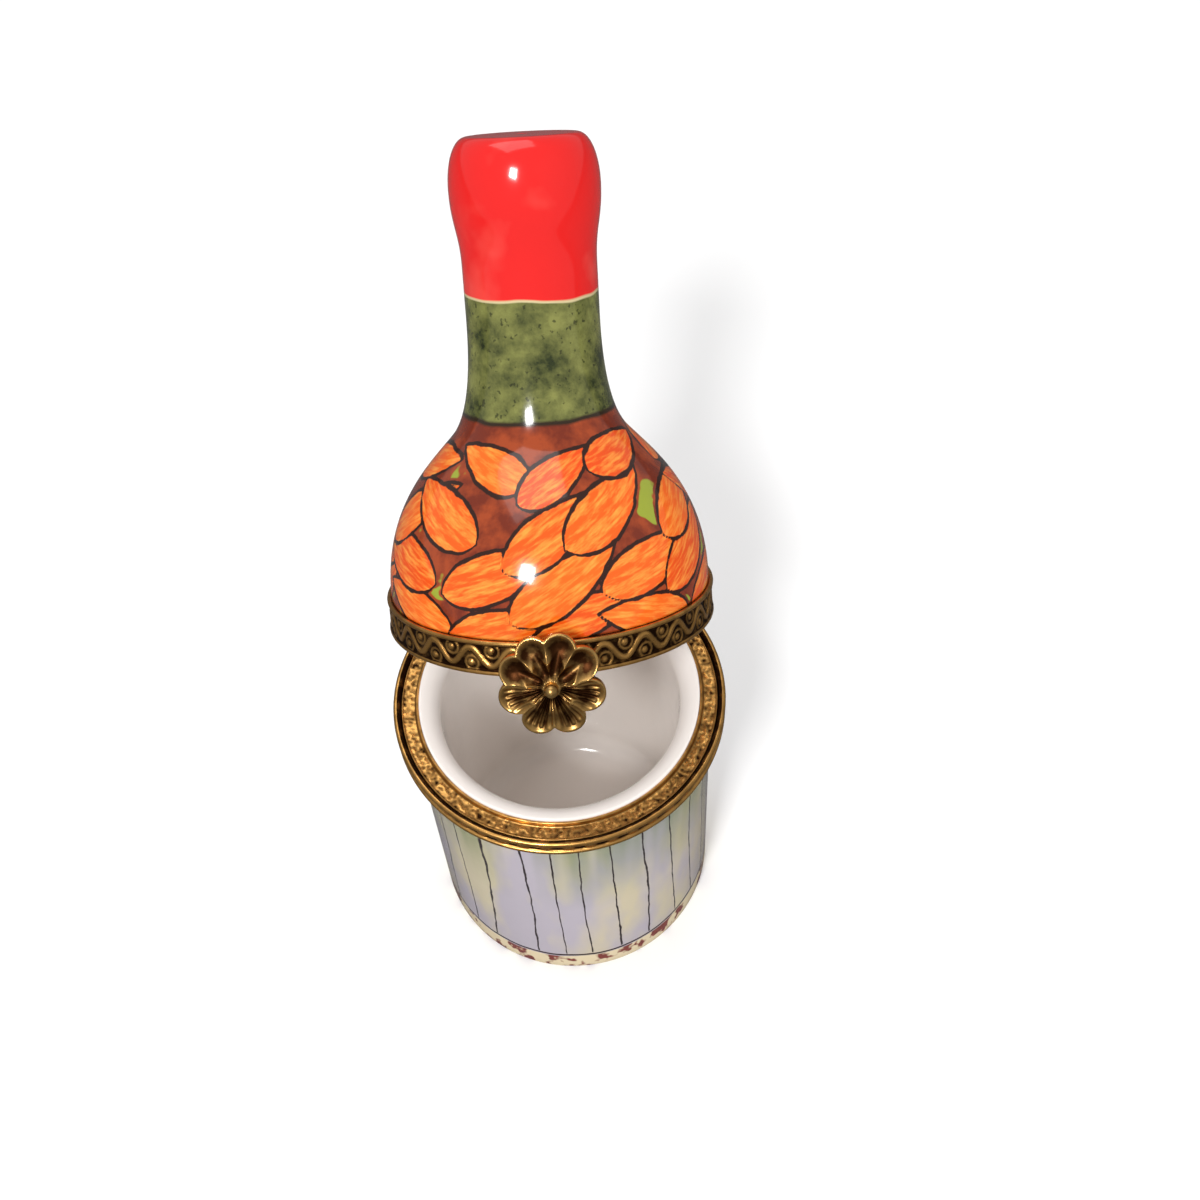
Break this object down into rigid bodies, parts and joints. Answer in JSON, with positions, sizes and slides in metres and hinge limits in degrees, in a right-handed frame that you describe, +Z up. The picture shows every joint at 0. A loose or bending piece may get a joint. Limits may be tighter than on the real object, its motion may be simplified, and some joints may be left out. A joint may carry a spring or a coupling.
{
  "type": "hinged trinket box",
  "caption": "Hand-painted porcelain trinket box in the shape of a wine bottle with a dipped cap, hinged at the shoulder in brass rims and held by a flower clasp.",
  "frame": {"origin": "middle of the flat foot, at the height of the table that it stands on", "axes": "+Z up the bottle; -Y is the front, where the flower clasp is; +Y is the back, where the hinge is; +X to the right of someone facing the front"},
  "size_m": [0.041, 0.0603, 0.1035],
  "materials": {
    "cup_glaze": "glossy hand-painted glaze, pale lavender grey with cream and green washes and thin dark lines",
    "lid_glaze": "glossy hand-painted glaze, rust and orange shoulder, sponged green neck, scarlet cap",
    "antique_brass": "antiqued brass, brown in the recesses and gold on the ridges",
    "bright_brass": "polished brass, a little worn"
  },
  "bodies": {
    "base": {"base_cup": "cup_glaze", "base_seat_ring": "antique_brass", "base_gallery_band": "antique_brass", "base_hinge_leaf": "bright_brass", "hinge_pin": "bright_brass"},
    "lid": {"lid_shell": "lid_glaze", "lid_seat_ring": "bright_brass", "lid_gallery_band": "antique_brass", "lid_hinge_leaf": "bright_brass", "clasp_tongue": "bright_brass", "clasp_flower": "bright_brass", "flower_rivet": "bright_brass"}
  },
  "joints": [
    {"name": "lid_hinge", "type": "hinge", "parent": "base", "child": "lid", "pos_m": [0, 0.022, 0.0437], "axis": [-1, 0, 0], "range_deg": [-35, 55]}
  ]
}
